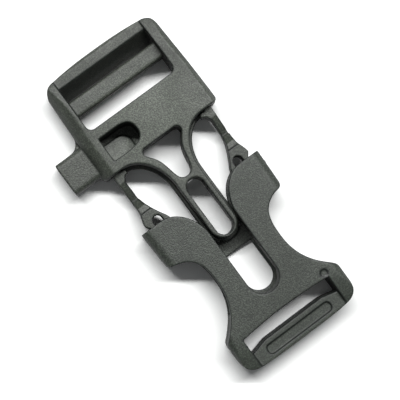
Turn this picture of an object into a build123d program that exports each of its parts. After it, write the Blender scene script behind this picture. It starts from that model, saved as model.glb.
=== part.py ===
from build123d import *
import math
import os

# Side-release buckle with a whistle moulded into the latch half.
# Millimetres. X runs across the webbing, +Y along it toward the adjuster bars, +Z up.
# The origin is on the centreline, at the socket's mouth, on the underside plane.
# The latch half is drawn where it lies when the buckle is closed, then moved out by drawn_back.

os.makedirs("parts", exist_ok=True)

# --- webbing -------------------------------------------------------------------------------
webbing_width = 20.0
webbing_side_play = 0.5
web_half = webbing_width / 2 + webbing_side_play

# --- how the two halves meet ----------------------------------------------------------------
drawn_back = 12.5        # how far the latch half stands out of the closed position
closing_gap = 0.3        # between the shoulders and the mouth when closed
rail_wide = 3.5          # rail width at the frame's shoulder
tongue_reach = 23.6      # from the mouth to the tongue's tip when closed
tongue_tip_gap = 1.0
neck_half = 2.9          # of the tongue's raised rib
sweep_width = 6.7        # of the curve from the shoulder into the tongue
sweep_length = 9.0
sweep_lip = 0.75         # how far the thin flange stands out of the curve and the rib
tongue_side_play = 0.45
flange_side_play = 0.3

# --- socket half ------------------------------------------------------------------------------
socket_height = 7.6
plate = 1.3
mouth_flare = 0.3
band_length = 7.7
side_wall = 0.9
mouth_lead = 0.45
mouth_lead_length = 1.0
band_corner = 1.1
band_rear = (1.0, 0.05)    # behind the band: the plates' edge and its slant
waist_overhang = 1.9     # how far the plates stand out of the core at the waist
waist_y = -16.2
waist_knee = (1.8, 1.35)  # of the waist's curve behind the band
lug_width = 3.2          # from the end of the webbing slot to the socket's side
lug_length = 7.7
lug_corner = (0.5, 0.7)
lug_straight = 3.6
lug_end_rise = 0.4
core_play = 1.6          # between the core and an arm's head inside the band
core_front_y = -8.0
pocket_round = 2.2
pocket_rear_gap = 0.9
groove_extra = 0.6
bridge_front_y = -10.2
window_front_y = -13.7
window_ledge = 0.5
window_half = 3.0
end_wall = 3.3           # between the tongue's groove and the webbing slot
web_slot_width = 3.2
web_slot_end_drop = 0.9
web_slot_bow = 0.6
web_slot_end_wide = 3.6
web_bar_width = 4.4
web_bar_low = 0.8
web_bar_high = 6.0
panel_length = 15.6
panel_width = 2.1
panel_round = 0.95
panel_depth = 0.45
eject_mark_inset = (3.5, 0.4)
eject_mark_r = 0.8
eject_mark_depth = 0.2
gate_nub_y = -2.7
gate_nub_r = 0.4
gate_nub_stand = 0.25
socket_shoulder = 2.0
socket_shoulder_drop = 1.9
shoulder_bulge = 0.3     # of a slanted shoulder, out of its straight chord
socket_end_fall = 0.8
underside_round = 0.7
end_fall_length = 9.0     # where the top starts to fall toward an end
end_round_length = 2.2

# --- latch half: frame, adjuster bars and tongue -----------------------------------------------
frame_lower = 0.2        # how much lower the frame is than the socket
rail_end = 2.8           # rail width at the end bar
frame_length = 23.0      # from the mouth to the end bar's outer edge when closed
frame_end_bow = 0.7
frame_corner = 2.8
shoulder_corner = 1.0
right_shoulder = (1.2, 1.5, 2.6)    # width at the shoulder, width at the end bar, drop
left_shoulder = (2.6, 2.5, 2.7)     # the same on the whistle's side
frame_end_drop = 1.9
frame_end_fall = 0.7
plate_length = 9.9       # from the mouth to the lower adjuster slot when closed
slot_two_width = 3.8
slot_two_round = 1.3
middle_bar = 3.6
slot_one_width = 3.0
middle_bar_low = 2.2
middle_bar_high = 5.4
middle_bar_round = 0.7
end_bar_high = 6.2
end_bar_foot_in = 2.4    # how far the end bar's slanted face runs under the slot
end_bar_foot = 1.4
tongue_under_play = 0.3
flange_thick = 1.6
tongue_under_y = -6.1
tongue_slot_half = 1.9
tongue_slot_margin = 1.2
tongue_slot_top_y = -9.3
bell_top_y = 1.0
bell_bottom_y = -8.3
bell_half = 3.3
bell_corner = (0.9, 1.7, 1.0)    # outward, down, radius
bell_side = ((-0.4, -3.5), (2.0, -6.6), (1.6, 1.1))    # knee, lower side, start of the round end

# --- spring arms --------------------------------------------------------------------------------
pivot_in = 2.75          # from the side of the frame to the arm's root
pivot_y = 1.5
arm_play = 0.45          # above and below, between the plates
stem_drop = 0.5          # of the root's top below the head's
scoop_drop = 2.3         # of the stem's top at its lowest, between root and head
scoop_y = (-1.9, -6.0, -7.9)    # start, lowest place and end of the scoop
lip_beyond_sweep = 0.5   # how far the flange's lip runs past the curve, toward the arm
gusset = 1.25            # fillet between the root and the frame's shoulder
gusset_gap = 0.2
gusset_sunk = (0.05, 0.4)   # the gusset's side into the stem
stem_half = 0.85
throat_length = 1.2      # of the seat's mouth beyond the flange's lip
root_play = 0.08
relaxed_angle = 5.0      # outward, from the position inside the band
wall_play = 0.14
barb_in = 1.2            # from the side of the frame to the barb inside the band
barb_y = -11.6
barb_flat = 1.4
neck_in = (0.1, 0.7)     # where the stem's outer side turns out to the barb
head_neck = ((0.75, 0.1), (0.3, 1.7), (0.2, 3.5))    # the inner side between head and stem
head_rear_y = 2.1        # from the barb to the start of the head's inner side
head_step_y = -9.2
head_in = 6.5            # from the side of the frame to the inner side of a head
head_tip_y = -21.7
head_tip_r = 1.5
head_tip_skew = 0.4
head_hole = (7.6, 2.0)
head_hole_at = (2.55, 3.1)
head_step_rise = 0.25
pocket_end_gap = 1.5

# --- whistle --------------------------------------------------------------------------------------
mouthpiece_stand = 6.0   # out of the side of the frame
mouthpiece_start_y = 1.5
mouthpiece_width = 7.3
mouthpiece_z = (0.9, 5.4)
mouthpiece_round = 1.1
mouthpiece_blend = 2.6
mouthpiece_sunk = 3.0    # into the rail
mouthpiece_web = (0.35, 0.8)     # into the rail, above the mouthpiece's foot
airway_off_centre = -0.4
airway_width = 4.6
airway_z = (3.2, 4.3)
window_in = 4.1          # from the side of the frame to the window
window_length = 7.4
window_width = 5.3
window_off_airway = 0.3
window_curve = (3.3, 0.4, 1.2)   # start of the curve, its widest place, how much shorter below
chamber_floor = 1.3
ramp_length = 5.5
ramp_width = 4.0
ramp_round = 2.3
ramp_end_z = 2.0

# --- places that follow from the sizes above ------------------------------------------------------
half_width = web_half + rail_wide
mouth_half = half_width + mouth_flare
inner_wall = half_width - side_wall
groove_end_y = -(tongue_reach + tongue_tip_gap)
channel_end_y = groove_end_y + groove_extra
window_end_y = channel_end_y + window_ledge
web_slot_top_y = groove_end_y - end_wall
web_slot_bottom_y = web_slot_top_y - web_slot_width
socket_end_y = web_slot_bottom_y - web_bar_width
lug_half = web_half + lug_width
lug_y = socket_end_y + lug_length
pocket_end_y = head_tip_y - pocket_end_gap
frame_height = socket_height - frame_lower
frame_end_half = web_half + rail_end
slot_two = (plate_length, plate_length + slot_two_width)
slot_one = (slot_two[1] + middle_bar, slot_two[1] + middle_bar + slot_one_width)
tongue_low = plate + tongue_under_play
flange_high = tongue_low + flange_thick
tongue_slot = (-tongue_reach + tongue_slot_margin, tongue_slot_top_y)
arm_low = plate + arm_play
arm_high = socket_height - plate - arm_play
pivot_x = half_width - pivot_in
barb_x = half_width - barb_in
head_inner = half_width - head_in
core_half = head_inner - core_play
waist_half = core_half + waist_overhang
mouthpiece_x = -half_width - mouthpiece_stand
mouthpiece_y = (mouthpiece_start_y, mouthpiece_start_y + mouthpiece_width)
window_x = (-half_width + window_in, -half_width + window_in + window_length)
airway_y = mouthpiece_start_y + mouthpiece_width / 2 + airway_off_centre
window_mid_y = airway_y + window_off_airway
window_y = (window_mid_y - window_width / 2, window_mid_y + window_width / 2)
above = 20.0             # past everything, for cuts
lap = 0.5                # how far a cut or a joined block runs past what it meets
past_mouth = 3.0


def prism(profile, low, high):
    """A flat profile raised from the height low to the height high."""
    return extrude(Pos(0, 0, low) * profile, high - low)


def outline(*edges):
    """A face inside the closed chain of edges."""
    return make_face(Curve() + list(edges))


def both_sides(solid):
    """The solid joined with its mirror image across the centreline."""
    return solid + mirror(solid, Plane.YZ)


def rectangle(x0, x1, y0, y1):
    """A rectangle given by its limits."""
    return Pos((x0 + x1) / 2, (y0 + y1) / 2) * Rectangle(x1 - x0, y1 - y0)


def slot_shape(half, y0, y1):
    """A slot along Y with a round end at y0 and at y1."""
    straight = rectangle(-half, half, y0 + half, y1 - half)
    return straight + Pos(0, y0 + half) * Circle(half) + Pos(0, y1 - half) * Circle(half)


def round_ended(half, y_round, y_flat):
    """A strip along Y with a round end at y_round and a square end at y_flat."""
    centre = y_round + half
    return rectangle(-half, half, centre, y_flat) + Pos(0, centre) * Circle(half)


def neck_opening(inset):
    """A quarter ellipse: the sweep from the frame's shoulder into the side of the tongue.

    inset moves the curve into the gap beside the tongue.
    """
    centre_x = neck_half + sweep_width
    centre_y = closing_gap - sweep_length
    quarter = EllipticalCenterArc(
        (centre_x, centre_y), sweep_width - inset, sweep_length - inset, 90, arc_size=90
    )
    return quarter, centre_x, centre_y


def side_section(y, wide, shoulder, height, drop, slanted=False):
    """The right half of a cross-section at y: a flat top, a shoulder and a soft foot.

    The shoulder is a quarter ellipse, or a slightly bulging slant that leaves a crisp ridge.
    """
    flat = wide - shoulder
    foot = underside_round
    slant = math.hypot(shoulder, drop)
    middle = (
        wide - shoulder / 2 + shoulder_bulge * drop / slant,
        height - drop / 2 + shoulder_bulge * shoulder / slant,
    )
    if slanted:
        top = ThreePointArc((wide, height - drop), middle, (flat, height))
    else:
        top = EllipticalCenterArc((flat, height - drop), shoulder, drop, 0, arc_size=90)
    section = outline(
        Line((0, 0), (wide - foot, 0)),
        RadiusArc((wide - foot, 0), (wide, foot), -foot),
        Line((wide, foot), (wide, height - drop)),
        top,
        Line((flat, height), (0, height)),
        Line((0, height), (0, 0)),
    )
    return Plane((0, y, 0), x_dir=(1, 0, 0), z_dir=(0, -1, 0)) * section


def end_section(inner_y, end_y, height, fall, drop):
    """The shape seen from the side: the top falls a little toward end_y and rounds over."""
    way = 1 if end_y > inner_y else -1
    start_y = end_y - way * end_fall_length
    edge_y = end_y - way * end_round_length
    foot = underside_round
    section = outline(
        Line((inner_y, 0), (inner_y, height)),
        Line((inner_y, height), (start_y, height)),
        Spline(
            (start_y, height),
            (edge_y, height - fall),
            (end_y, height - fall - drop),
            tangents=[(way, 0), (0, -1)],
        ),
        Line((end_y, height - fall - drop), (end_y, foot)),
        Line((end_y, foot), (end_y - way * foot, 0)),
        Line((end_y - way * foot, 0), (inner_y, 0)),
    )
    return extrude(Plane.YZ * section, above, both=True)


# --- socket half ----------------------------------------------------------------------------------


def socket_outline():
    """The right half of the socket seen from above."""
    down, inward, outward = (0, -1), (-1, -0.12), (0.75, -0.7)
    rear_y = -band_length - band_rear[0]
    band_end = (half_width, -band_length + closing_gap)
    plate_edge = (half_width - band_corner, rear_y + band_rear[1])
    knee = (waist_half + waist_knee[0], rear_y - waist_knee[1])
    narrowest = (waist_half, waist_y)
    lug_start = (lug_half - lug_corner[0], lug_y + lug_corner[1])
    lug_top = (lug_half, lug_y - lug_corner[0])
    lug_foot = (lug_half, lug_y - lug_straight)
    bar_end = (web_half, socket_end_y + lug_end_rise)
    return outline(
        Line((mouth_half, 0), band_end),
        Spline(band_end, plate_edge, tangents=[(-0.03, -1), inward]),
        Spline(plate_edge, knee, narrowest, tangents=[inward, down]),
        Spline(narrowest, lug_start, tangents=[down, outward]),
        Spline(lug_start, lug_top, tangents=[outward, down]),
        Line(lug_top, lug_foot),
        Spline(lug_foot, bar_end, tangents=[down, inward]),
        Spline(bar_end, (0, socket_end_y), tangents=[inward, (-1, 0)]),
        Line((0, socket_end_y), (0, 0)),
        Line((0, 0), (mouth_half, 0)),
    )


def socket_blank():
    """The socket before anything is cut from it, its sides and end rounded."""
    flat = prism(socket_outline(), 0, socket_height)
    size = (socket_shoulder, socket_height, socket_shoulder_drop)
    sides = loft(
        [side_section(1, mouth_half, *size), side_section(socket_end_y - 1, lug_half, *size)],
        ruled=True,
    )
    end = end_section(1, socket_end_y, socket_height, socket_end_fall, socket_shoulder_drop)
    return both_sides(flat & sides & end)


def mouth_notch():
    """The part of the mouth that the frame's neck closes into, right half."""
    quarter, centre_x, centre_y = neck_opening(closing_gap)
    top_y = centre_y + sweep_length - closing_gap
    left_x = centre_x - sweep_width + closing_gap
    return outline(
        quarter,
        Line((centre_x, top_y), (centre_x, past_mouth)),
        Line((centre_x, past_mouth), (0, past_mouth)),
        Line((0, past_mouth), (0, centre_y)),
        Line((0, centre_y), (left_x, centre_y)),
    )


def arm_pocket():
    """The space between the two plates for the arms, right half."""
    wall = inner_wall
    lead = wall + mouth_lead
    rear_y = -band_length - pocket_rear_gap
    bend = pocket_round
    return outline(
        Line((0, past_mouth), (lead, past_mouth)),
        Line((lead, past_mouth), (lead, 0)),
        Line((lead, 0), (wall, -mouth_lead_length)),
        Line((wall, -mouth_lead_length), (wall, rear_y)),
        Line((wall, rear_y), (above, rear_y)),
        Line((above, rear_y), (above, pocket_end_y)),
        Line((above, pocket_end_y), (core_half + bend, pocket_end_y)),
        RadiusArc((core_half + bend, pocket_end_y), (core_half, pocket_end_y + bend), bend),
        Line((core_half, pocket_end_y + bend), (core_half, core_front_y)),
        Line((core_half, core_front_y), (0, core_front_y)),
        Line((0, core_front_y), (0, past_mouth)),
    )


def web_slot_shape():
    """The slot for the fixed webbing, right half."""
    end_y = web_slot_top_y - web_slot_bow
    drop_x = web_half - web_slot_end_wide
    foot_y = web_slot_bottom_y - web_slot_end_drop
    return outline(
        Line((0, web_slot_top_y), (0, web_slot_bottom_y)),
        Line((0, web_slot_bottom_y), (drop_x, web_slot_bottom_y)),
        Line((drop_x, web_slot_bottom_y), (web_half, foot_y)),
        Line((web_half, foot_y), (web_half, end_y)),
        ThreePointArc(
            (web_half, end_y),
            (web_half / 2, web_slot_top_y - web_slot_bow / 4),
            (0, web_slot_top_y),
        ),
    )


def socket_body():
    """The half that the latch half plugs into, with its fixed webbing bar."""
    body = socket_blank()
    low, high = plate, socket_height - plate
    body -= both_sides(prism(arm_pocket(), low, high))
    body -= both_sides(prism(mouth_notch(), high - lap, above))
    body -= both_sides(prism(mouth_notch(), -lap, low + lap))
    underside_gap = rectangle(
        -neck_half - closing_gap, neck_half + closing_gap, bridge_front_y, closing_gap - sweep_length
    )
    body -= prism(underside_gap, -lap, low + lap)
    rib_half = neck_half + tongue_side_play
    flange_half = neck_half + sweep_lip + flange_side_play
    flange_top = flange_high + flange_side_play
    body -= prism(round_ended(rib_half, channel_end_y, past_mouth), low, above)
    body -= prism(round_ended(flange_half, groove_end_y, core_front_y + lap), low, flange_top)
    body -= prism(round_ended(window_half, window_end_y, window_front_y), -lap, low + lap)
    body -= both_sides(prism(web_slot_shape(), -lap, above))
    bar = rectangle(0, web_half, socket_end_y - lap, web_slot_bottom_y + lap)
    body -= both_sides(prism(bar, web_bar_high, above))
    body -= both_sides(prism(bar, -lap, web_bar_low))
    panel_y = (web_slot_bottom_y + socket_end_y) / 2
    panel = Pos(0, panel_y) * RectangleRounded(panel_length, panel_width, panel_round)
    body -= prism(panel, web_bar_high - panel_depth, above)
    mark = Pos(lug_half - eject_mark_inset[0], lug_y + eject_mark_inset[1]) * Circle(eject_mark_r)
    body -= prism(mark, socket_height - eject_mark_depth, above)
    nub_end = Plane.YZ * Pos(gate_nub_y, socket_height / 2) * Circle(gate_nub_r)
    nub = Pos(mouth_half - side_wall / 2, 0, 0) * extrude(nub_end, side_wall / 2 + gate_nub_stand)
    return body + nub


# --- latch half: frame ------------------------------------------------------------------------------


def frame_outline():
    """The right half of the frame seen from above, down to its shoulder."""
    shoulder_y = closing_gap
    corner_x = frame_end_half - frame_corner
    side_y = frame_length - frame_end_bow - frame_corner
    quarter, centre_x, centre_y = neck_opening(0)
    return outline(
        Line((half_width, shoulder_y + shoulder_corner), (frame_end_half, side_y)),
        RadiusArc((frame_end_half, side_y), (corner_x, side_y + frame_corner), -frame_corner),
        ThreePointArc(
            (corner_x, side_y + frame_corner),
            (corner_x / 2, frame_length - frame_end_bow / 4),
            (0, frame_length),
        ),
        Line((0, frame_length), (0, centre_y)),
        Line((0, centre_y), (neck_half, centre_y)),
        quarter,
        Line((centre_x, shoulder_y), (half_width - shoulder_corner, shoulder_y)),
        RadiusArc(
            (half_width - shoulder_corner, shoulder_y),
            (half_width, shoulder_y + shoulder_corner),
            -shoulder_corner,
        ),
    )


def flange_outline():
    """The thin lip around the arm gaps and the tongue, right half."""
    quarter, centre_x, centre_y = neck_opening(sweep_lip)
    lip_y = centre_y + sweep_length - sweep_lip
    half = neck_half + sweep_lip
    tip = half - tongue_reach
    end_x = centre_x + lip_beyond_sweep
    return outline(
        Line((0, lip_y + 2), (end_x, lip_y + 2)),
        Line((end_x, lip_y + 2), (end_x, lip_y)),
        Line((end_x, lip_y), (centre_x, lip_y)),
        quarter,
        Line((half, centre_y), (half, tip)),
        RadiusArc((half, tip), (0, -tongue_reach), half),
        Line((0, -tongue_reach), (0, lip_y + 2)),
    )


def bell_opening():
    """The bell-shaped hole through the frame above the tongue, right half."""
    out, down, radius = bell_corner
    knee, lower, end = bell_side
    corner = (bell_half, bell_top_y)
    side = (bell_half + out, bell_top_y - down)
    turn = (end[0], bell_bottom_y + end[1])
    bottom = (0, bell_bottom_y)
    return outline(
        Line(bottom, (0, bell_top_y)),
        Line((0, bell_top_y), corner),
        RadiusArc(corner, side, radius),
        Spline(
            side,
            (bell_half + knee[0], bell_top_y + knee[1]),
            (lower[0], bell_top_y + lower[1]),
            turn,
            tangents=[(-0.6, -0.8), (-0.35, -1)],
        ),
        Spline(turn, bottom, tangents=[(-0.35, -1), (-1, 0)]),
    )


def arm_socket():
    """The seat of an arm's root in the frame, right half."""
    radius = stem_half + root_play
    mouth_y = closing_gap - sweep_lip - throat_length
    flare = (pivot_y - mouth_y) * math.tan(math.radians(relaxed_angle)) + root_play
    seat = Pos(pivot_x, pivot_y) * Circle(radius)
    throat = make_face(
        Polyline(
            (pivot_x - radius, pivot_y),
            (pivot_x + radius, pivot_y),
            (pivot_x + radius + flare, mouth_y),
            (pivot_x - radius - flare, mouth_y),
            close=True,
        )
    )
    return seat + throat


def end_bar():
    """The bar at the frame's end: its inner face slants under toward the middle bar."""
    y_top, y_foot = slot_one[1], slot_one[1] - end_bar_foot_in
    section = Plane.YZ * make_face(
        Polyline(
            (frame_length + 1, 0),
            (frame_length + 1, end_bar_high),
            (y_top, end_bar_high),
            (y_foot, end_bar_foot),
            (y_foot, 0),
            close=True,
        )
    )
    return extrude(section, web_half + lap, both=True)


def frame_half(shoulder_wide, end_wide, drop):
    """The right half of the frame's slab, with a slanted shoulder of those widths and drop."""
    flat = prism(frame_outline(), 0, frame_height)
    size = (frame_height, drop, True)
    wide = side_section(-above, half_width, shoulder_wide, *size)
    middle = side_section(slot_two[0], half_width, shoulder_wide, *size)
    narrow = side_section(frame_length + 1, frame_end_half, end_wide, *size)
    sides = loft([wide, middle], ruled=True) + loft([middle, narrow], ruled=True)
    end = end_section(-above, frame_length, frame_height, frame_end_fall, frame_end_drop)
    return flat & sides & end


def frame_blank():
    """The frame's slab with its shoulders, before its openings are cut."""
    return frame_half(*right_shoulder) + mirror(frame_half(*left_shoulder), Plane.YZ)


def mouthpiece():
    """The whistle's mouthpiece, which stands out of the frame's left rail."""
    y0, y1 = mouthpiece_y
    z0, z1 = mouthpiece_z
    reach = mouthpiece_stand + mouthpiece_sunk
    stub = Pos(mouthpiece_x + reach / 2, (y0 + y1) / 2, (z0 + z1) / 2) * Box(reach, y1 - y0, z1 - z0)
    long_edges = stub.edges().filter_by(Axis.X)
    stub = fillet(long_edges.filter_by(lambda e: e.center().Z > z1 - 1e-3), mouthpiece_round)
    long_edges = stub.edges().filter_by(Axis.X)
    stub = fillet(long_edges.filter_by(lambda e: e.center().Z < z0 + 1e-3), mouthpiece_round / 2)
    rail_x = -half_width + mouthpiece_web[0]
    inner_x = rail_x + mouthpiece_sunk / 2
    outer_x = rail_x - mouthpiece_blend
    top_y = y1 + mouthpiece_blend
    web = outline(
        Line((outer_x, y1 - lap), (inner_x, y1 - lap)),
        Line((inner_x, y1 - lap), (inner_x, top_y)),
        Line((inner_x, top_y), (rail_x, top_y)),
        RadiusArc((rail_x, top_y), (outer_x, y1), mouthpiece_blend),
        Line((outer_x, y1), (outer_x, y1 - lap)),
    )
    return stub + prism(web, z0 + mouthpiece_web[1], z1 - mouthpiece_round)


def whistle_cavity():
    """The airway, the window in the top and the chamber with its ramp."""
    x0, x1 = window_x
    y0, y1 = window_y
    y_mid = (y0 + y1) / 2
    start, widest, shorter = window_curve
    shoulder = x1 - start
    low, high = airway_z
    airway = Pos((mouthpiece_x + x0) / 2, airway_y, (low + high) / 2) * Box(
        x0 - mouthpiece_x + 2, airway_width, high - low
    )
    window = outline(
        Line((x0, y0), (x0, y1)),
        Line((x0, y1), (shoulder, y1)),
        Spline(
            (shoulder, y1),
            (x1, y_mid + widest),
            (shoulder - shorter, y0),
            tangents=[(1, 0), (-1, 0)],
        ),
        Line((shoulder - shorter, y0), (x0, y0)),
    )
    chamber = prism(window, chamber_floor, above)
    ramp_section = Plane.XZ * make_face(
        Polyline(
            (x0 - 1, 0),
            (x0 - 1, low),
            (x0, low),
            (x0 + ramp_length, ramp_end_z),
            (x0 + ramp_length, 0),
            close=True,
        )
    )
    ramp = Pos(0, y_mid, 0) * extrude(ramp_section, (y1 - y0) / 2 + 1, both=True)
    tread = Pos(x0 + ramp_length / 2 - ramp_round, y0 + ramp_width / 2 - ramp_round) * (
        RectangleRounded(ramp_length + 2 * ramp_round, ramp_width + 2 * ramp_round, ramp_round)
    )
    return airway + (chamber - (ramp & prism(tread, -lap, above)))


def latch_frame():
    """The frame with its adjuster bars, the whistle and the tongue."""
    frame = frame_blank()
    frame += both_sides(prism(flange_outline(), tongue_low, flange_high))
    rib = round_ended(neck_half, sweep_lip - tongue_reach, tongue_under_y)
    frame += prism(rib, tongue_low, frame_height)
    frame += mouthpiece()
    under_half = neck_half + sweep_lip + lap
    under = rectangle(-under_half, under_half, -tongue_reach - lap, tongue_under_y)
    frame -= prism(under, -lap, tongue_low)
    lower = 2 * slot_two_round + 0.2
    openings = rectangle(-web_half, web_half, slot_two[0] + slot_two_round, slot_two[1])
    openings += Pos(0, slot_two[0] + lower / 2) * RectangleRounded(2 * web_half, lower, slot_two_round)
    frame -= prism(openings, -lap, above)
    bars = rectangle(-web_half, web_half, slot_two[1] - lap, frame_length + lap)
    frame -= prism(bars, -lap, above)
    frame += end_bar() & frame_blank()
    middle = Pos(0, (slot_two[1] + slot_one[0]) / 2, (middle_bar_low + middle_bar_high) / 2) * Box(
        2 * (web_half + lap), slot_one[0] - slot_two[1], middle_bar_high - middle_bar_low
    )
    middle = fillet(middle.edges().filter_by(Axis.X), middle_bar_round)
    frame += middle
    frame -= both_sides(prism(bell_opening(), -lap, above))
    frame -= prism(slot_shape(tongue_slot_half, *tongue_slot), -lap, above)
    frame -= both_sides(prism(arm_socket(), arm_low - root_play, arm_high - stem_drop + root_play))
    frame -= whistle_cavity()
    return frame


# --- spring arms ------------------------------------------------------------------------------------


def arm_outline():
    """The right arm seen from above, without its round root."""
    lean = math.tan(math.radians(relaxed_angle))

    def free_x(y):
        """The furthest out that the head may reach at y and still clear the wall when relaxed."""
        return inner_wall - wall_play - (pivot_y - y) * lean

    stem_out, stem_in = pivot_x + stem_half, pivot_x - stem_half
    turn = (stem_out - neck_in[0], head_step_y + neck_in[1])
    flat_y = barb_y - barb_flat
    head_end = head_tip_y + head_tip_r
    outer_low = free_x(head_end)
    head_rear = (head_inner, barb_y - head_rear_y)
    head_low = (head_inner, head_end + head_tip_skew)
    bulge, narrow, straight = head_neck
    stem_start = (stem_in + straight[0], pivot_y - straight[1])
    return outline(
        Line((stem_in, pivot_y), (stem_out, pivot_y)),
        Line((stem_out, pivot_y), turn),
        Spline(turn, (barb_x, barb_y), tangents=[(0.15, -1), (0.1, -1)]),
        Line((barb_x, barb_y), (free_x(flat_y), flat_y)),
        Line((free_x(flat_y), flat_y), (outer_low, head_end)),
        Spline(
            (outer_low, head_end),
            ((head_inner + outer_low) / 2, head_tip_y),
            head_low,
            tangents=[(-lean, -1), (-0.1, 1)],
        ),
        Line(head_low, head_rear),
        Spline(
            head_rear,
            (head_inner + bulge[0], barb_y + bulge[1]),
            (stem_in - narrow[0], head_step_y + narrow[1]),
            stem_start,
            tangents=[(0, 1), (0.02, 1)],
        ),
        Line(stem_start, (stem_in, pivot_y)),
    )


def root_gusset(top_y, foot_y):
    """The rounded web between the arm's inner side and the frame, from top_y down to foot_y."""
    side_x = pivot_x - stem_half + gusset_sunk[0]
    inner_x = side_x - gusset
    sunk_x = side_x + gusset_sunk[1]
    return outline(
        Line((sunk_x, top_y), (inner_x, top_y)),
        Line((inner_x, top_y), (inner_x, foot_y)),
        RadiusArc((inner_x, foot_y), (side_x, foot_y - gusset), gusset),
        Line((side_x, foot_y - gusset), (sunk_x, foot_y - gusset)),
        Line((sunk_x, foot_y - gusset), (sunk_x, top_y)),
    )


def stem_relief():
    """What is cut from the stem's top: low at the root, a scoop, then a ramp up to the head."""
    root, scoop = arm_high - stem_drop, arm_high - scoop_drop
    start_y, low_y, end_y = scoop_y
    section = Plane.YZ * make_face(
        Polyline(
            (pivot_y + past_mouth, above),
            (pivot_y + past_mouth, root),
            (start_y, root),
            (low_y, scoop),
            (end_y, root),
            (head_step_y, root + head_step_rise),
            (head_step_y, above),
            close=True,
        )
    )
    return extrude(section, above, both=True)


def spring_arm():
    """The right arm: its root turns in the frame and its barb catches behind the band."""
    shape = arm_outline() + Pos(pivot_x, pivot_y) * Circle(stem_half)
    lip_y = closing_gap - sweep_lip - gusset_gap
    foot_y = lip_y - gusset_gap
    arm = prism(shape + root_gusset(lip_y, foot_y), arm_low, arm_high)
    over_lip = flange_high + flange_side_play
    arm += prism(root_gusset(closing_gap - gusset_gap, foot_y), over_lip, arm_high)
    arm -= stem_relief()
    length, width = head_hole
    slot = SlotOverall(length, width, rotation=90 + relaxed_angle / 2)
    hole = Pos(head_inner + head_hole_at[0], barb_y - head_hole_at[1]) * slot
    return arm - prism(hole, -lap, above)


right_arm = Pos(0, drawn_back, 0) * spring_arm()
parts = {
    "socket_body": socket_body(),
    "latch_frame": Pos(0, drawn_back, 0) * latch_frame(),
    "right_spring_arm": right_arm,
    "left_spring_arm": mirror(right_arm, Plane.YZ),
}

for name, shape in parts.items():
    export_step(shape, f"parts/{name}.step")
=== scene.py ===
import math

import bmesh
import bpy
from mathutils import Matrix, Vector
from mathutils.kdtree import KDTree


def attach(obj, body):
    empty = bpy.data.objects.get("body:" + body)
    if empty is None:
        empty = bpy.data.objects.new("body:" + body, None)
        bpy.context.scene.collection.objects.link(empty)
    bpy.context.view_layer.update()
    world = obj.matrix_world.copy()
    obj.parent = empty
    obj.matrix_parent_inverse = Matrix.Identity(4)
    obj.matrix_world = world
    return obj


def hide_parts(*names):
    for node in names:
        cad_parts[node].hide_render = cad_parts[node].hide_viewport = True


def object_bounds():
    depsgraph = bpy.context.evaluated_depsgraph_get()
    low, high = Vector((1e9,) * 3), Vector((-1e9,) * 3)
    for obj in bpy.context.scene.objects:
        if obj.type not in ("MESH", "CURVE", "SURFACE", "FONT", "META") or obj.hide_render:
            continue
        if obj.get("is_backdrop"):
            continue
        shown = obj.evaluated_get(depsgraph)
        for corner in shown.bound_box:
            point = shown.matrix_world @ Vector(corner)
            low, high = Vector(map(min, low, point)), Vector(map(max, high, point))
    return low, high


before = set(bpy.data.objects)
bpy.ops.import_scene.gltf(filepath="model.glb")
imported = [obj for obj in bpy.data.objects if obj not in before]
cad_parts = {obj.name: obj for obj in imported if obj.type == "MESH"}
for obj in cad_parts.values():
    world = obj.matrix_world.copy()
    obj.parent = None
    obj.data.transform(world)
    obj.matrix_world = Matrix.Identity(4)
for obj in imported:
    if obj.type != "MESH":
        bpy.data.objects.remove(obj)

bl_info = {
    "name": "Whistle Buckle",
    "version": (1, 0, 0),
    "blender": (4, 5, 0),
    "location": "3D View > Sidebar > Buckle",
    "description": "Finishes a side-release buckle with a whistle in its latch half",
    "category": "Add Mesh",
}

# Metres. X runs across the webbing, +Y along it toward the adjuster bars, +Z up.
MM = 0.001
ALONG_LIGHT = Vector((0.595, 0.804, 0.0))      # the way to the key light, seen from above
ACROSS_LIGHT = Vector((0.804, -0.595, 0.0))
EDGE_ATTRIBUTE = "near_outward_edge"
CORNER_ATTRIBUTE = "near_inward_corner"
RIM_ATTRIBUTE = "near_rim"
# Upright faces are rougher where they slid along the mould, and are painted darker as painted shade.
SIDE_ATTRIBUTE = "drawn_side"                  # faces that slid along the mould as it opened
PLATE_MIDDLE = Vector((0.0, 16.5 * MM, 7.4 * MM))

# The grain: how much each of its three layers counts, and which heights show as crests.
GRAIN_COARSE = 1.1
GRAIN_PITS = 0.5
GRAIN_FINE = 0.3
FINE_SCALE = 2.7
CREST_HEIGHTS = (0.84, 1.24)

# Colours as shares of the plastic's own colour, and how far each effect counts.
PIT_SHADE = 0.42
CREST_SHADE = 1.45
RUBBED_SHADE = 1.9
RUBBED_LIFT = 0.01
FLOW_TINT = (0.55, 0.57, 0.56, 1)
# Painted shade for inward corners.
CORNER_PAINTED_SHADE = (0.25, 0.27, 0.30, 1)
# Painted shade for the upright sides and near rims.
SIDE_PAINTED_SHADE = (0.14, 0.18, 0.19, 1)
FLOW_SHARE = 0.3
RUB_SHARE = 0.3
CORNER_SHADE_SHARE = 0.75
SIDE_SHADE_SHARE = 0.85
# Painted shade: how strongly and how far from a rim the colour is darkened into a dark outline.
RIM_SHADE_SHARE = 0.8
RIM_SHADE_FROM_RIM = (0.15, 0.75)
GLOSS_SPREAD = 0.05
GLOSS_OF_EFFECT = 0.12         # rubbed faces are this much smoother, drawn sides this much rougher
IOR = 1.48
PATCH_SIZE = 9 * MM
QUICK_PATCHES = 6.0
# Painted highlight: the middle of the adjuster's plate is painted paler, fading out over this reach.
PAINTED_HIGHLIGHT_REACH = (5 * MM, 15 * MM)
PLATE_PAINTED_HIGHLIGHT = 1.7              # how much paler the middle of the adjuster's plate is
SIDE_NORMALS = (0.7, 0.25)     # upward share of the normal where the drawn side starts and is full

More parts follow.
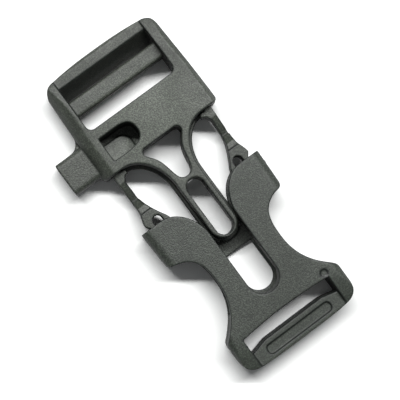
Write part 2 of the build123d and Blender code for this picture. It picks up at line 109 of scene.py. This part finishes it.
# The parting line: where its crest ends, which faces carry it and how open their air must be.
LINE_CREST = 0.35
LINE_UPRIGHT = (0.2, 0.5)
LINE_CLEAR = 0.4 * MM
LINE_REACH = 0.2
PARTING_SOCKET = 3.8 * MM
PARTING_FRAME = 3.2 * MM
PARTING_ARMS = 3.8 * MM

# The stage.
VIEW_TARGET = Vector((-0.7 * MM, -1.2 * MM, 4 * MM))
FLOOR_GAP = 0.02 * MM
PAPER_FIBRE = 900.0
PAPER_ROUGHNESS = (0.62, 0.74)
TENT_COLOUR = (0.97, 0.985, 1.0, 1)
TENT_TOP = 0.9
CLIP = (0.01, 10)


# --- settings -------------------------------------------------------------------------------------


class MouldingSettings(bpy.types.PropertyGroup):
    """How the mouldings are finished."""

    merge_gap: bpy.props.FloatProperty(
        name="Merge gap",
        description="Points of the model nearer than this are joined",
        default=0.001 * MM,
        unit="LENGTH",
    )
    voxel: bpy.props.FloatProperty(
        name="Voxel",
        description="Size of the cells that the moulding is rebuilt from",
        default=0.13 * MM,
        min=0.05 * MM,
        unit="LENGTH",
    )
    softening: bpy.props.IntProperty(
        name="Softening", description="How often the surface is evened out", default=4, min=0
    )
    edge_angle: bpy.props.FloatProperty(
        name="Edge angle",
        description="Edges that turn by more than this count as sharp",
        default=math.radians(28),
        subtype="ANGLE",
    )
    # Outward edges sharper than the rim angle get a painted shade outline along them.
    rim_angle: bpy.props.FloatProperty(
        name="Rim angle",
        description="Outward edges that turn by more than this are rims, which gather dirt",
        default=math.radians(62),
        subtype="ANGLE",
    )
    edge_reach: bpy.props.FloatProperty(
        name="Edge reach",
        description="How far from a sharp edge its rubbing or shade runs",
        default=0.45 * MM,
        unit="LENGTH",
    )
    line_width: bpy.props.FloatProperty(
        name="Parting line width",
        description="Half the width of the line where the mould halves met",
        default=0.22 * MM,
        unit="LENGTH",
    )
    line_stand: bpy.props.FloatProperty(
        name="Parting line stand",
        description="How far that line stands out of the sides",
        default=0.08 * MM,
        unit="LENGTH",
    )
    most_triangles: bpy.props.IntProperty(
        name="Most triangles", description="Size that each moulding is thinned to", default=170000
    )


class PlasticSettings(bpy.types.PropertyGroup):
    """The colour and grain of the moulded acetal."""

    # The latch colour is a little paler than the socket's as painted light: both are one plastic, and the
    # latch lies nearer the key light.
    latch_colour: bpy.props.FloatVectorProperty(
        name="Latch colour",
        description="Colour of the latch half and its arms",
        default=(0.043, 0.050, 0.039),
        size=3,
        subtype="COLOR",
    )
    socket_colour: bpy.props.FloatVectorProperty(
        name="Socket colour",
        description="Colour of the socket half",
        default=(0.038, 0.046, 0.036),
        size=3,
        subtype="COLOR",
    )
    roughness: bpy.props.FloatProperty(
        name="Roughness",
        description="Roughness of the grained faces",
        default=0.52,
        min=0.0,
        max=1.0,
        subtype="FACTOR",
    )
    grain_size: bpy.props.FloatProperty(
        name="Grain size",
        description="Width of one pit of the spark-eroded grain",
        default=0.25 * MM,
        min=0.02 * MM,
        unit="LENGTH",
    )
    grain_depth: bpy.props.FloatProperty(
        name="Grain depth",
        description="Depth of the grain",
        default=0.05 * MM,
        min=0.0,
        unit="LENGTH",
    )


class StudioSettings(bpy.types.PropertyGroup):
    """Floor, light and camera."""

    floor_size: bpy.props.FloatProperty(
        name="Floor size", description="Side of the floor", default=6.0, unit="LENGTH"
    )
    floor_colour: bpy.props.FloatVectorProperty(
        name="Floor colour",
        description="Colour of the floor",
        default=(0.86, 0.87, 0.86),
        size=3,
        subtype="COLOR",
    )
    sky_strength: bpy.props.FloatProperty(
        name="Sky strength", description="Brightness of the light tent", default=0.21, min=0.0
    )
    horizon_share: bpy.props.FloatProperty(
        name="Horizon share",
        description="Brightness of the tent at the horizon, as a share of overhead",
        default=0.15,
        min=0.0,
        max=1.0,
        subtype="FACTOR",
    )
    key_elevation: bpy.props.FloatProperty(
        name="Key elevation",
        description="Height of the key light above the floor's horizon",
        default=math.radians(64),
        subtype="ANGLE",
    )
    key_distance: bpy.props.FloatProperty(
        name="Key distance",
        description="From the buckle to the key light",
        default=0.62,
        unit="LENGTH",
    )
    key_length: bpy.props.FloatProperty(
        name="Key length", description="Length of the key light", default=0.7, unit="LENGTH"
    )
    key_width: bpy.props.FloatProperty(
        name="Key width", description="Width of the key light", default=0.05, unit="LENGTH"
    )
    key_power: bpy.props.FloatProperty(
        name="Key power", description="Power of the key light", default=7.0, unit="POWER"
    )
    camera_distance: bpy.props.FloatProperty(
        name="Camera distance",
        description="From the lens to the middle of the view",
        default=0.22,
        unit="LENGTH",
    )
    camera_lean: bpy.props.FloatProperty(
        name="Camera lean",
        description="Lean of the camera off the vertical, toward the whistle's side",
        default=math.radians(4),
        subtype="ANGLE",
    )
    view_width: bpy.props.FloatProperty(
        name="View width",
        description="Width that the camera takes in at the buckle",
        default=0.080,
        unit="LENGTH",
    )


def settings():
    """The three groups of settings."""
    scene = bpy.context.scene
    return scene.buckle_moulding, scene.buckle_plastic, scene.buckle_studio


# --- nodes and materials ----------------------------------------------------------------------------


def add_node(tree, kind, inputs=None, **values):
    """A node of a kind, with its properties and the constants or links of its inputs."""
    node = tree.nodes.new(kind)
    for name, value in values.items():
        setattr(node, name, value)
    for name, value in (inputs or {}).items():
        socket = node.inputs[name]
        if isinstance(value, bpy.types.NodeSocket):
            tree.links.new(value, socket)
        else:
            socket.default_value = value
    return node


def math_node(tree, operation, first, second=0.0, clamp=False):
    """The output of a Math node."""
    node = add_node(tree, "ShaderNodeMath", {0: first, 1: second}, operation=operation)
    node.use_clamp = clamp
    return node.outputs[0]


def map_range(tree, value, low, high, to_low=0.0, to_high=1.0):
    """The output of a clamped Map Range node."""
    node = add_node(
        tree,
        "ShaderNodeMapRange",
        {"Value": value, "From Min": low, "From Max": high, "To Min": to_low, "To Max": to_high},
    )
    return node.outputs["Result"]


def blend(tree, factor, first, second, how="MIX"):
    """The colour output of a Mix node."""
    values = {0: factor, 6: first, 7: second}
    node = add_node(tree, "ShaderNodeMix", values, data_type="RGBA", blend_type=how)
    return node.outputs[2]


def mask(tree, attribute):
    """A value that is stored at the piece's points."""
    return add_node(tree, "ShaderNodeAttribute", attribute_name=attribute).outputs["Fac"]


def new_group(name, inputs, outputs):
    """A shader node group with named sockets, and its input and output nodes."""
    tree = bpy.data.node_groups.new(name, "ShaderNodeTree")
    for socket_name, kind, default in inputs:
        socket = tree.interface.new_socket(socket_name, in_out="INPUT", socket_type=kind)
        if default is not None:
            socket.default_value = default
    for socket_name, kind in outputs:
        tree.interface.new_socket(socket_name, in_out="OUTPUT", socket_type=kind)
    return tree, tree.nodes.new("NodeGroupInput"), tree.nodes.new("NodeGroupOutput")


def grain_group():
    """The spark-eroded grain of the mould: its height, and the bright crests of it."""
    tree, start, end = new_group(
        "spark_eroded_grain",
        [("Coordinates", "NodeSocketVector", None), ("Pit Size", "NodeSocketFloat", 0.25 * MM)],
        [("Height", "NodeSocketFloat"), ("Crests", "NodeSocketFloat")],
    )
    place = start.outputs["Coordinates"]
    scale = math_node(tree, "DIVIDE", 1.0, start.outputs["Pit Size"])
    coarse = add_node(
        tree,
        "ShaderNodeTexNoise",
        {"Vector": place, "Scale": scale, "Detail": 2.0, "Roughness": 0.6},
    )
    pits = add_node(
        tree,
        "ShaderNodeTexVoronoi",
        {"Vector": place, "Scale": scale, "Smoothness": 0.6},
        feature="SMOOTH_F1",
    )
    fine_scale = math_node(tree, "MULTIPLY", scale, FINE_SCALE)
    fine = add_node(
        tree, "ShaderNodeTexNoise", {"Vector": place, "Scale": fine_scale, "Detail": 1.0}
    )
    rough = math_node(tree, "MULTIPLY", coarse.outputs["Fac"], GRAIN_COARSE)
    pitted = math_node(tree, "MULTIPLY", pits.outputs["Distance"], GRAIN_PITS)
    finest = math_node(tree, "MULTIPLY", fine.outputs["Fac"], GRAIN_FINE)
    height = math_node(tree, "ADD", math_node(tree, "ADD", rough, pitted), finest)
    tree.links.new(height, end.inputs["Height"])
    tree.links.new(map_range(tree, height, *CREST_HEIGHTS), end.inputs["Crests"])
    return tree


def cloud_group():
    """Slow variation over a moulding: flow marks and handling, as two masks."""
    tree, start, end = new_group(
        "flow_and_handling",
        [("Coordinates", "NodeSocketVector", None), ("Patch Size", "NodeSocketFloat", PATCH_SIZE)],
        [("Flow", "NodeSocketFloat"), ("Rub", "NodeSocketFloat")],
    )
    place = start.outputs["Coordinates"]
    scale = math_node(tree, "DIVIDE", 1.0, start.outputs["Patch Size"])
    slow = add_node(
        tree,
        "ShaderNodeTexNoise",
        {"Vector": place, "Scale": scale, "Detail": 3.0, "Distortion": 0.8},
    )
    quick_scale = math_node(tree, "MULTIPLY", scale, QUICK_PATCHES)
    quick = add_node(
        tree, "ShaderNodeTexNoise", {"Vector": place, "Scale": quick_scale, "Detail": 4.0}
    )
    tree.links.new(map_range(tree, slow.outputs["Fac"], 0.35, 0.65), end.inputs["Flow"])
    tree.links.new(map_range(tree, quick.outputs["Fac"], 0.42, 0.62), end.inputs["Rub"])
    return tree


def shared_group(name, maker):
    """The node group of that name, made once."""
    return bpy.data.node_groups.get(name) or maker()


def plastic(name, colour, painted_highlight=1.0):
    """Moulded acetal: a fine matt grain, flow marks, rubbed edges, and painted shade on upright sides,
    near rims and in inward corners.

    painted_highlight is how much paler the middle of the adjuster's plate is: a painted highlight.
    """
    known = bpy.data.materials.get(name)
    if known:
        return known
    look = bpy.context.scene.buckle_plastic
    material = bpy.data.materials.new(name)
    material.use_nodes = True
    tree = material.node_tree
    tree.nodes.clear()
    place = add_node(tree, "ShaderNodeTexCoord").outputs["Object"]
    grain = add_node(
        tree,
        "ShaderNodeGroup",
        {"Coordinates": place, "Pit Size": look.grain_size},
        node_tree=shared_group("spark_eroded_grain", grain_group),
    )
    cloud = add_node(
        tree,
        "ShaderNodeGroup",
        {"Coordinates": place, "Patch Size": PATCH_SIZE},
        node_tree=shared_group("flow_and_handling", cloud_group),
    )
    flow = cloud.outputs["Flow"]
    rubbed = math_node(tree, "MULTIPLY", mask(tree, EDGE_ATTRIBUTE), cloud.outputs["Rub"])
    side = mask(tree, SIDE_ATTRIBUTE)

    pit, crest = (tuple(share * c for c in colour) + (1,) for share in (PIT_SHADE, CREST_SHADE))
    shiny = tuple(RUBBED_SHADE * c + RUBBED_LIFT for c in colour) + (1,)
    speckled = blend(tree, grain.outputs["Crests"], pit, crest)
    flow_share = map_range(tree, flow, 0, 1, 0.0, FLOW_SHARE)
    flowed = blend(tree, flow_share, speckled, FLOW_TINT, "MULTIPLY")
    # Painted highlight: the colour is made paler near the middle of the adjuster's plate.
    from_plate = add_node(
        tree, "ShaderNodeVectorMath", {0: place, 1: PLATE_MIDDLE}, operation="DISTANCE"
    ).outputs["Value"]
    paler = map_range(tree, from_plate, *PAINTED_HIGHLIGHT_REACH, painted_highlight, 1.0)
    highlighted = add_node(
        tree, "ShaderNodeVectorMath", {0: flowed, "Scale": paler}, operation="SCALE"
    ).outputs["Vector"]
    worn = blend(tree, math_node(tree, "MULTIPLY", rubbed, RUB_SHARE), highlighted, shiny)
    # Painted shade: the colour is darkened near inward corners.
    corner_shade = math_node(tree, "MULTIPLY", mask(tree, CORNER_ATTRIBUTE), CORNER_SHADE_SHARE)
    corner_shaded_colour = blend(tree, corner_shade, worn, CORNER_PAINTED_SHADE, "MULTIPLY")
    # Painted shade: a dark outline along the rims, joined with the painted shade of the upright sides.
    near_rim = map_range(tree, mask(tree, RIM_ATTRIBUTE), *RIM_SHADE_FROM_RIM)
    rim_shade = math_node(tree, "MULTIPLY", near_rim, RIM_SHADE_SHARE)
    # Painted shade: upright sides are darkened by how far their normals lean from vertical.
    side_shade = math_node(tree, "MULTIPLY", side, SIDE_SHADE_SHARE)
    side_and_rim_shade = math_node(tree, "MAXIMUM", side_shade, rim_shade)
    drawn_and_shaded = blend(tree, side_and_rim_shade, corner_shaded_colour, SIDE_PAINTED_SHADE, "MULTIPLY")

    smooth, rough = look.roughness - GLOSS_SPREAD, look.roughness + GLOSS_SPREAD
    gloss = map_range(tree, flow, 0, 1, smooth, rough)
    rub_gloss = math_node(tree, "MULTIPLY", rubbed, GLOSS_OF_EFFECT)
    side_gloss = math_node(tree, "MULTIPLY", side, GLOSS_OF_EFFECT)
    gloss = math_node(tree, "ADD", math_node(tree, "SUBTRACT", gloss, rub_gloss), side_gloss)
    bump = add_node(
        tree,
        "ShaderNodeBump",
        {"Height": grain.outputs["Height"], "Distance": look.grain_depth, "Strength": 1.0},
    )
    shader = add_node(
        tree,
        "ShaderNodeBsdfPrincipled",
        {
            "Base Color": drawn_and_shaded,
            "Roughness": gloss,
            "Normal": bump.outputs["Normal"],
            "IOR": IOR,
        },
    )
    out = add_node(tree, "ShaderNodeOutputMaterial")
    tree.links.new(shader.outputs["BSDF"], out.inputs["Surface"])
    return material


# --- mouldings ----------------------------------------------------------------------------------------


def skin_tree():
    """Softens a dense moulding's edges and raises the fine line where the mould halves met."""
    known = bpy.data.node_groups.get("moulded_skin")
    if known:
        return known
    tree = bpy.data.node_groups.new("moulded_skin", "GeometryNodeTree")
    tree.interface.new_socket("Geometry", in_out="INPUT", socket_type="NodeSocketGeometry")
    for name, kind in (
        ("Softening", "NodeSocketInt"),
        ("Parting Height", "NodeSocketFloat"),
        ("Line Width", "NodeSocketFloat"),
        ("Line Stand", "NodeSocketFloat"),
        ("Reach", "NodeSocketFloat"),
        ("Low Corner", "NodeSocketVector"),
        ("High Corner", "NodeSocketVector"),
        ("Material", "NodeSocketMaterial"),
    ):
        tree.interface.new_socket(name, in_out="INPUT", socket_type=kind)
    tree.interface.new_socket("Geometry", in_out="OUTPUT", socket_type="NodeSocketGeometry")
    start = tree.nodes.new("NodeGroupInput").outputs
    end = tree.nodes.new("NodeGroupOutput")

    place = add_node(tree, "GeometryNodeInputPosition").outputs["Position"]
    softened = add_node(
        tree,
        "GeometryNodeBlurAttribute",
        {"Iterations": start["Softening"]},
        data_type="FLOAT_VECTOR",
    )
    vector_in = next(i for i in softened.inputs if i.type == "VECTOR" and i.enabled)
    vector_out = next(o for o in softened.outputs if o.type == "VECTOR" and o.enabled)
    tree.links.new(place, vector_in)
    soft = add_node(
        tree, "GeometryNodeSetPosition", {"Geometry": start["Geometry"], "Position": vector_out}
    )

    normal = add_node(tree, "GeometryNodeInputNormal").outputs["Normal"]
    parts = add_node(tree, "ShaderNodeSeparateXYZ", {"Vector": place}).outputs
    facing = add_node(tree, "ShaderNodeSeparateXYZ", {"Vector": normal}).outputs
    over_line = math_node(tree, "SUBTRACT", parts["Z"], start["Parting Height"])
    off_line = math_node(tree, "ABSOLUTE", over_line)
    share = math_node(tree, "DIVIDE", off_line, start["Line Width"])
    band = map_range(tree, share, LINE_CREST, 1.0, 1.0, 0.0)
    lean = math_node(tree, "ABSOLUTE", facing["Z"])
    upright = map_range(tree, lean, *LINE_UPRIGHT, 1.0, 0.0)
    level = add_node(
        tree, "ShaderNodeCombineXYZ", {"X": facing["X"], "Y": facing["Y"], "Z": 0.0}
    ).outputs["Vector"]
    clear = add_node(
        tree, "ShaderNodeVectorMath", {0: level, "Scale": LINE_CLEAR}, operation="SCALE"
    ).outputs["Vector"]
    source = add_node(
        tree, "ShaderNodeVectorMath", {0: place, 1: clear}, operation="ADD"
    ).outputs["Vector"]
    ray = add_node(
        tree,
        "GeometryNodeRaycast",
        {
            "Target Geometry": soft.outputs["Geometry"],
            "Source Position": source,
            "Ray Direction": level,
            "Ray Length": start["Reach"],
        },
    )
    open_air = math_node(tree, "SUBTRACT", 1.0, ray.outputs["Is Hit"])
    raised = math_node(tree, "MULTIPLY", math_node(tree, "MULTIPLY", band, upright), open_air)
    raised = math_node(tree, "MULTIPLY", raised, start["Line Stand"])
    offset = add_node(
        tree, "ShaderNodeVectorMath", {0: level, "Scale": raised}, operation="SCALE"
    ).outputs["Vector"]
    stood = add_node(tree, "ShaderNodeVectorMath", {0: place, 1: offset}, operation="ADD")
    above = add_node(
        tree,
        "ShaderNodeVectorMath",
        {0: stood.outputs["Vector"], 1: start["Low Corner"]},
        operation="MAXIMUM",
    )
    within = add_node(
        tree,
        "ShaderNodeVectorMath",
        {0: above.outputs["Vector"], 1: start["High Corner"]},
        operation="MINIMUM",
    )
    lined = add_node(
        tree,
        "GeometryNodeSetPosition",
        {"Geometry": soft.outputs["Geometry"], "Position": within.outputs["Vector"]},
    )
    whole = add_node(
        tree, "GeometryNodeRealizeInstances", {"Geometry": lined.outputs["Geometry"]}
    )
    painted = add_node(
        tree,
        "GeometryNodeSetMaterial",
        {"Geometry": whole.outputs["Geometry"], "Material": start["Material"]},
    )
    tree.links.new(painted.outputs["Geometry"], end.inputs["Geometry"])
    return tree


def set_inputs(modifier, **values):
    """Sets a Geometry Nodes modifier's inputs by name, with spaces written as underscores."""
    for item in modifier.node_group.interface.items_tree:
        key = item.name.replace(" ", "_")
        if item.item_type == "SOCKET" and item.in_out == "INPUT" and key in values:
            modifier[item.identifier] = values[key]


def baked(piece):
    """The piece's mesh with its modifiers applied."""
    bpy.context.view_layer.update()
    graph = bpy.context.evaluated_depsgraph_get()
    mesh = bpy.data.meshes.new_from_object(piece.evaluated_get(graph))
    piece.modifiers.clear()
    return mesh


def sharp_edge_tree(work, outward, least_angle):
    """Points along the model's sharp edges: the outward ones, or the corners that lie inward."""
    finish = bpy.context.scene.buckle_moulding
    places = []
    for edge in work.edges:
        angle = edge.calc_face_angle_signed(0.0)
        if abs(angle) < least_angle or (angle > 0) != outward:
            continue
        start, end = (v.co for v in edge.verts)
        steps = max(1, math.ceil((end - start).length / finish.voxel))
        places += [start.lerp(end, i / steps) for i in range(steps + 1)]
    tree = KDTree(len(places))
    for index, place in enumerate(places):
        tree.insert(place, index)
    tree.balance()
    return tree


def write_nearness(mesh, name, tree, reach):
    """An attribute that is 1 at the points of the tree and falls to 0 at reach."""
    values = [max(0.0, 1.0 - tree.find(v.co)[2] / reach) for v in mesh.vertices]
    mesh.attributes.new(name, "FLOAT", "POINT").data.foreach_set("value", values)


def moulded_copy(node, name, body, material, parting_height):
    """A copy of a CAD node with softened edges, a faint parting line and its material's masks."""
    finish = bpy.context.scene.buckle_moulding
    work = bmesh.new()
    work.from_mesh(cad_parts[node].data)
    bmesh.ops.remove_doubles(work, verts=work.verts, dist=finish.merge_gap)
    mesh = bpy.data.meshes.new(name)
    work.to_mesh(mesh)
    piece = bpy.data.objects.new(name, mesh)
    bpy.context.scene.collection.objects.link(piece)
    dense = piece.modifiers.new("dense", "REMESH")
    dense.mode = "VOXEL"
    dense.voxel_size = finish.voxel
    dense.use_smooth_shade = True
    skin = piece.modifiers.new("skin", "NODES")
    skin.node_group = skin_tree()
    low, high = ([pick(v.co[i] for v in work.verts) for i in range(3)] for pick in (min, max))
    set_inputs(
        skin,
        Softening=finish.softening,
        Parting_Height=parting_height,
        Line_Width=finish.line_width,
        Line_Stand=finish.line_stand,
        Reach=LINE_REACH,
        Low_Corner=low,
        High_Corner=high,
        Material=material,
    )
    piece.data = baked(piece)
    thinned = piece.modifiers.new("thinned", "DECIMATE")
    piece.data.calc_loop_triangles()
    thinned.ratio = min(1.0, finish.most_triangles / len(piece.data.loop_triangles))
    piece.data = baked(piece)
    piece.data.name = name
    for attribute, outward, least_angle in (
        (EDGE_ATTRIBUTE, True, finish.edge_angle),
        (RIM_ATTRIBUTE, True, finish.rim_angle),
        (CORNER_ATTRIBUTE, False, finish.edge_angle),
    ):
        tree = sharp_edge_tree(work, outward, least_angle)
        write_nearness(piece.data, attribute, tree, finish.edge_reach)
    starts, full = SIDE_NORMALS
    shares = ((starts - v.normal.z) / (starts - full) for v in piece.data.vertices)
    sides = [max(0.0, min(1.0, share)) for share in shares]
    piece.data.attributes.new(SIDE_ATTRIBUTE, "FLOAT", "POINT").data.foreach_set("value", sides)
    work.free()
    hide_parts(node)
    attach(piece, body)
    return piece


class BUCKLE_OT_socket(bpy.types.Operator):
    """Finish the socket half"""

    bl_idname = "buckle.socket"
    bl_label = "Socket half"

    def execute(self, context):
        colour = context.scene.buckle_plastic.socket_colour
        moulded_copy(
            "socket_body",
            "socket_shell",
            "socket",
            plastic("socket_acetal", colour),
            PARTING_SOCKET,
        )
        return {"FINISHED"}


class BUCKLE_OT_frame(bpy.types.Operator):
    """Finish the latch half's frame with its bars, whistle and tongue"""

    bl_idname = "buckle.latch_frame"
    bl_label = "Latch frame"

    def execute(self, context):
        colour = context.scene.buckle_plastic.latch_colour
        moulded_copy(
            "latch_frame",
            "latch_shell",
            "latch",
            plastic("latch_acetal", colour, PLATE_PAINTED_HIGHLIGHT),
            PARTING_FRAME,
        )
        return {"FINISHED"}


class BUCKLE_OT_arms(bpy.types.Operator):
    """Finish the two spring arms"""

    bl_idname = "buckle.spring_arms"
    bl_label = "Spring arms"

    def execute(self, context):
        colour = context.scene.buckle_plastic.latch_colour
        for side in ("left", "right"):
            moulded_copy(
                f"{side}_spring_arm",
                f"{side}_arm_shell",
                f"{side}_arm",
                plastic("latch_acetal", colour),
                PARTING_ARMS,
            )
        return {"FINISHED"}


# --- stage ----------------------------------------------------------------------------------------------


def floor_material(colour):
    """Pale matt paper."""
    material = bpy.data.materials.new("pale_paper")
    material.use_nodes = True
    tree = material.node_tree
    shader = tree.nodes["Principled BSDF"]
    place = add_node(tree, "ShaderNodeTexCoord").outputs["Object"]
    fibre = add_node(tree, "ShaderNodeTexNoise", {"Vector": place, "Scale": PAPER_FIBRE, "Detail": 3.0})
    shader.inputs["Base Color"].default_value = (*colour, 1)
    rough = map_range(tree, fibre.outputs["Fac"], 0.3, 0.7, *PAPER_ROUGHNESS)
    tree.links.new(rough, shader.inputs["Roughness"])
    return material


def build_floor(studio):
    """A pale floor just under the buckle."""
    half = studio.floor_size / 2
    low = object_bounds()[0].z - FLOOR_GAP
    mesh = bpy.data.meshes.new("floor")
    corners = [(x, y, low) for x, y in ((-half, -half), (half, -half), (half, half), (-half, half))]
    mesh.from_pydata(corners, [], [(0, 1, 2, 3)])
    mesh.materials.append(floor_material(studio.floor_colour))
    floor = bpy.data.objects.new("floor", mesh)
    bpy.context.scene.collection.objects.link(floor)
    floor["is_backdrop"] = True


def build_lights(studio, target):
    """An even light tent, and a strip light that gives the long soft-ended shadows."""
    world = bpy.data.worlds.new("light_tent")
    world.use_nodes = True
    tree = world.node_tree
    background = tree.nodes["Background"]
    way = add_node(tree, "ShaderNodeTexCoord").outputs["Generated"]
    rise = add_node(tree, "ShaderNodeSeparateXYZ", {"Vector": way}).outputs["Z"]
    glow = map_range(tree, rise, 0.0, TENT_TOP, studio.horizon_share, 1.0)
    background.inputs["Color"].default_value = TENT_COLOUR
    strength = math_node(tree, "MULTIPLY", glow, studio.sky_strength)
    tree.links.new(strength, background.inputs["Strength"])
    bpy.context.scene.world = world
    lamp = bpy.data.lights.new("strip_light", "AREA")
    lamp.shape = "RECTANGLE"
    lamp.size = studio.key_length
    lamp.size_y = studio.key_width
    lamp.energy = studio.key_power
    light = bpy.data.objects.new("strip_light", lamp)
    bpy.context.scene.collection.objects.link(light)
    rise = studio.key_elevation
    toward = ALONG_LIGHT * math.cos(rise) + Vector((0, 0, math.sin(rise)))
    across = ACROSS_LIGHT
    turn = Matrix((across, toward.cross(across), toward)).transposed().to_4x4()
    light.matrix_world = Matrix.Translation(target + toward * studio.key_distance) @ turn


def build_camera(studio, target):
    """A camera over the buckle, leaning a little toward the whistle's side."""
    data = bpy.data.cameras.new("camera")
    data.lens = data.sensor_width * studio.camera_distance / studio.view_width
    data.clip_start, data.clip_end = CLIP
    camera = bpy.data.objects.new("camera", data)
    bpy.context.scene.collection.objects.link(camera)
    lean = studio.camera_lean
    back = Vector((-math.sin(lean), 0, math.cos(lean)))
    right = ALONG_LIGHT.cross(back).normalized()
    up = back.cross(right)
    turn = Matrix((right, up, back)).transposed().to_4x4()
    camera.matrix_world = Matrix.Translation(target + back * studio.camera_distance) @ turn
    bpy.context.scene.camera = camera


class BUCKLE_OT_stage(bpy.types.Operator):
    """Build the floor, the lights and the camera"""

    bl_idname = "buckle.stage"
    bl_label = "Stage"

    def execute(self, context):
        studio = context.scene.buckle_studio
        build_floor(studio)
        build_lights(studio, VIEW_TARGET)
        build_camera(studio, VIEW_TARGET)
        context.scene.view_settings.view_transform = "Standard"
        return {"FINISHED"}


class BUCKLE_PT_panel(bpy.types.Panel):
    """Lists the pieces of the buckle and their settings"""

    bl_idname = "BUCKLE_PT_panel"
    bl_label = "Whistle Buckle"
    bl_space_type = "VIEW_3D"
    bl_region_type = "UI"
    bl_category = "Buckle"

    def draw(self, context):
        for group in settings():
            for prop in group.bl_rna.properties:
                if prop.identifier not in ("rna_type", "name"):
                    self.layout.prop(group, prop.identifier)
        for operator in OPERATORS:
            self.layout.operator(operator.bl_idname)


OPERATORS = (BUCKLE_OT_socket, BUCKLE_OT_frame, BUCKLE_OT_arms, BUCKLE_OT_stage)
CLASSES = (MouldingSettings, PlasticSettings, StudioSettings, *OPERATORS, BUCKLE_PT_panel)


def register():
    """Registers the classes and hangs the settings on the scene."""
    for cls in CLASSES:
        bpy.utils.register_class(cls)
    bpy.types.Scene.buckle_moulding = bpy.props.PointerProperty(type=MouldingSettings)
    bpy.types.Scene.buckle_plastic = bpy.props.PointerProperty(type=PlasticSettings)
    bpy.types.Scene.buckle_studio = bpy.props.PointerProperty(type=StudioSettings)


def unregister():
    """Takes back what register did."""
    del bpy.types.Scene.buckle_moulding
    del bpy.types.Scene.buckle_plastic
    del bpy.types.Scene.buckle_studio
    for cls in reversed(CLASSES):
        bpy.utils.unregister_class(cls)


def main():
    """Makes every piece in order."""
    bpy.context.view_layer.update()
    register()
    bpy.ops.buckle.socket()
    bpy.ops.buckle.latch_frame()
    bpy.ops.buckle.spring_arms()
    bpy.ops.buckle.stage()


if __name__ == "__main__":
    main()
